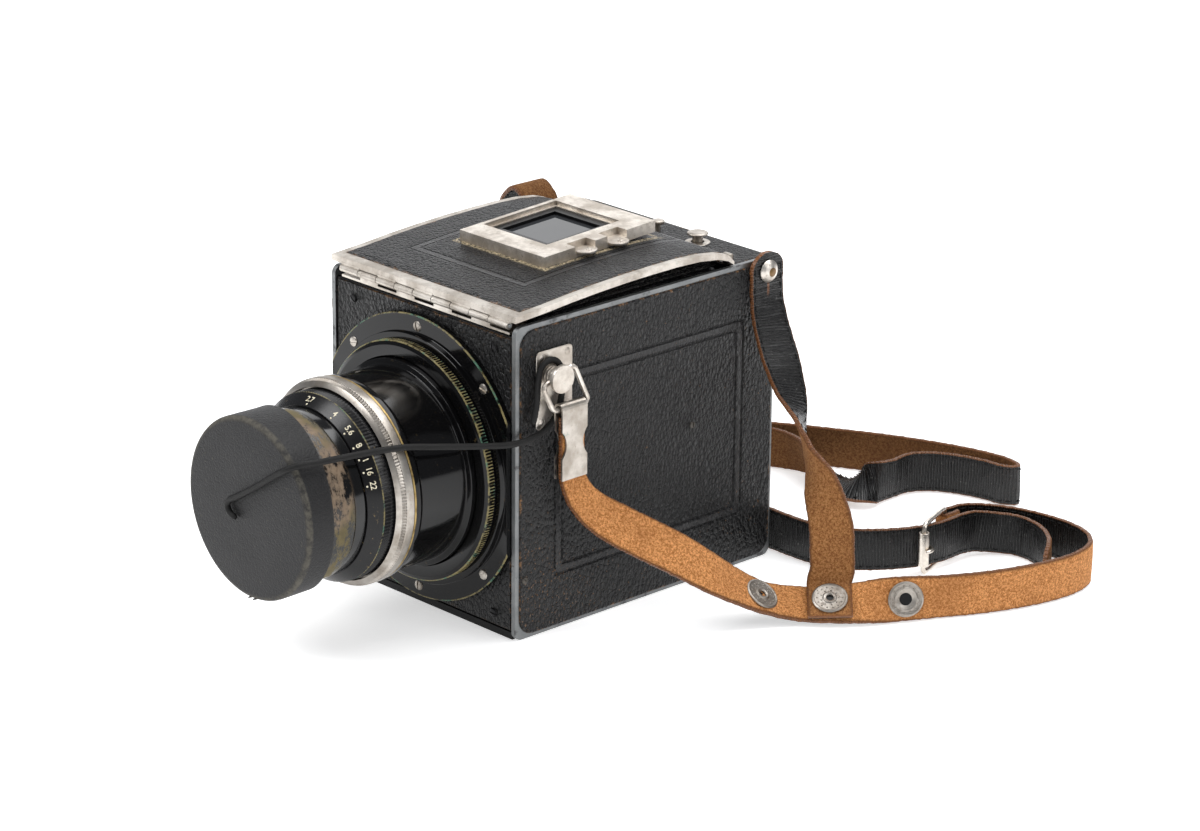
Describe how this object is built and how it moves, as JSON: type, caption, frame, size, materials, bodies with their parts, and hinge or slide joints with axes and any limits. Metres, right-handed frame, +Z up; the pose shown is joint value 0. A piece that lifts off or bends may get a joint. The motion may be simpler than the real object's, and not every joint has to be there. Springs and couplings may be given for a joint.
{
  "type": "folding camera",
  "caption": "Box-shaped single-lens reflex camera with a large capped lens, hinged viewing hood, focal-plane shutter, plate back and a leather neck strap.",
  "frame": {"origin": "middle of the underside of the base plate", "axes": "+Z up, -Y the way the lens looks, +X the plain leather side without controls"},
  "size_m": [0.2176, 0.3094, 0.1257],
  "materials": {
    "black_leather": "matte grained",
    "black_metal": "semi gloss",
    "nickel": "worn satin",
    "steel": "satin",
    "brass": "satin",
    "glass": "polished",
    "mirror": "polished",
    "suede": "suede",
    "cloth": "matte"
  },
  "bodies": {
    "body": {"body_shell": "black_metal", "base_plate": "black_metal", "tripod_bush": "brass", "side_plate_right": "steel", "side_plate_left": "steel", "front_panel": "black_metal", "rear_deck": "black_metal", "screen_frame": "black_metal", "ground_glass": "glass", "hinge_leaf": "nickel", "hinge_pin": "steel", "hood_leather": "black_leather", "lens_flange": "black_metal", "shutter_curtain": "cloth", "plate_holder": "black_metal", "shutter_cover": "black_metal", "strap_lug_right": "nickel", "wire_loop_right": "nickel", "strap_lug_left": "nickel", "strap_stud_right": "nickel", "strap_stud_left": "nickel", "strap_clip": "nickel", "strap_front": "suede", "strap_rear": "suede", "strap_short": "suede", "snap_one": "nickel", "snap_two": "nickel", "strap_eyelet": "nickel", "buckle_frame": "nickel", "buckle_roller": "nickel", "buckle_prong": "brass", "cap_cord": "cloth"},
    "hood": {"hood_lid": "nickel", "finder_frame": "nickel", "finder_mask": "black_metal", "finder_glass": "glass"},
    "focus": {"focus_ring": "black_metal"},
    "lens": {"lens_barrel": "black_metal", "nickel_ring": "nickel", "front_cell": "black_metal", "front_glass": "glass", "iris_diaphragm": "steel", "rear_cell": "black_metal", "rear_glass": "glass"},
    "aperture": {"aperture_ring": "black_metal"},
    "cap": {"lens_cap": "black_leather", "cap_cord_end": "cloth"},
    "mirror": {"mirror_frame": "black_metal", "mirror_glass": "mirror"},
    "winder": {"winding_knob": "nickel"},
    "top_roller": {"curtain_roller_top": "steel"},
    "bottom_roller": {"curtain_roller_bottom": "steel"},
    "dial": {"speed_dial": "nickel"},
    "lever": {"cocking_lever": "nickel"},
    "release": {"release_button": "nickel"},
    "selector": {"selector_knob": "nickel"},
    "catch": {"lid_catch": "nickel"},
    "slide": {"dark_slide": "black_metal"},
    "back_lock": {"back_catch": "nickel"},
    "left_loop": {"wire_loop_left": "nickel"}
  },
  "joints": [
    {"name": "lid_hinge", "type": "hinge", "parent": "body", "child": "hood", "pos_m": [0, -0.0613, 0.1123], "axis": [1, 0, 0], "range_deg": [0, 95]},
    {"name": "focus_turn", "type": "hinge", "parent": "body", "child": "focus", "pos_m": [0, -0.068, 0.0545], "axis": [0, 1, 0], "range_deg": [0, 180]},
    {"name": "lens_slide", "type": "slide", "parent": "body", "child": "lens", "axis": [0, -1, 0], "range_m": [0, 0.006]},
    {"name": "aperture_turn", "type": "hinge", "parent": "lens", "child": "aperture", "pos_m": [0, -0.105, 0.0545], "axis": [0, 1, 0], "range_deg": [0, 150]},
    {"name": "cap_slide", "type": "slide", "parent": "body", "child": "cap", "axis": [0, -1, 0], "range_m": [0, 0.018]},
    {"name": "mirror_flip", "type": "hinge", "parent": "body", "child": "mirror", "pos_m": [0, 0.041, 0.0975], "axis": [-1, 0, 0], "range_deg": [0, 45]},
    {"name": "winder_turn", "type": "hinge", "parent": "body", "child": "winder", "pos_m": [-0.06, 0.01, 0.066], "axis": [1, 0, 0], "range_deg": [0, 350]},
    {"name": "top_roller_turn", "type": "hinge", "parent": "body", "child": "top_roller", "pos_m": [0, 0.046, 0.1005], "axis": [1, 0, 0], "range_deg": [0, 350]},
    {"name": "bottom_roller_turn", "type": "hinge", "parent": "body", "child": "bottom_roller", "pos_m": [0, 0.046, 0.011], "axis": [1, 0, 0], "range_deg": [0, 350]},
    {"name": "dial_turn", "type": "hinge", "parent": "body", "child": "dial", "pos_m": [-0.06, -0.014, 0.088], "axis": [1, 0, 0], "range_deg": [0, 300]},
    {"name": "lever_slide", "type": "slide", "parent": "body", "child": "lever", "axis": [0, 0, -1], "range_m": [0, 0.01], "stiffness_N_per_m": 60, "springref_m": -0.004},
    {"name": "release_press", "type": "slide", "parent": "body", "child": "release", "axis": [0, 0, -1], "range_m": [0, 0.0025], "stiffness_N_per_m": 150, "springref_m": -0.002},
    {"name": "selector_turn", "type": "hinge", "parent": "body", "child": "selector", "pos_m": [-0.001, 0.051, 0.115], "axis": [0, 0, 1], "range_deg": [0, 90]},
    {"name": "catch_slide", "type": "slide", "parent": "body", "child": "catch", "axis": [0, 1, 0], "range_m": [0, 0.0012], "stiffness_N_per_m": 300, "springref_m": -0.0008},
    {"name": "slide_pull", "type": "slide", "parent": "body", "child": "slide", "axis": [-1, 0, 0], "range_m": [0, 0.078]},
    {"name": "back_lock_turn", "type": "hinge", "parent": "body", "child": "back_lock", "pos_m": [0, 0.062, 0.1025], "axis": [0, 1, 0], "range_deg": [0, 90]},
    {"name": "left_loop_swing", "type": "hinge", "parent": "body", "child": "left_loop", "pos_m": [-0.0536, -0.0488, 0.09386], "axis": [0, 0.9396, 0.3423], "range_deg": [0, 60]}
  ],
  "couplings": [
    {"joint": "focus_turn", "follows": "lens_slide", "rad_per_m": 520},
    {"joint": "top_roller_turn", "follows": "winder_turn", "ratio": 1},
    {"joint": "bottom_roller_turn", "follows": "winder_turn", "ratio": 1}
  ]
}
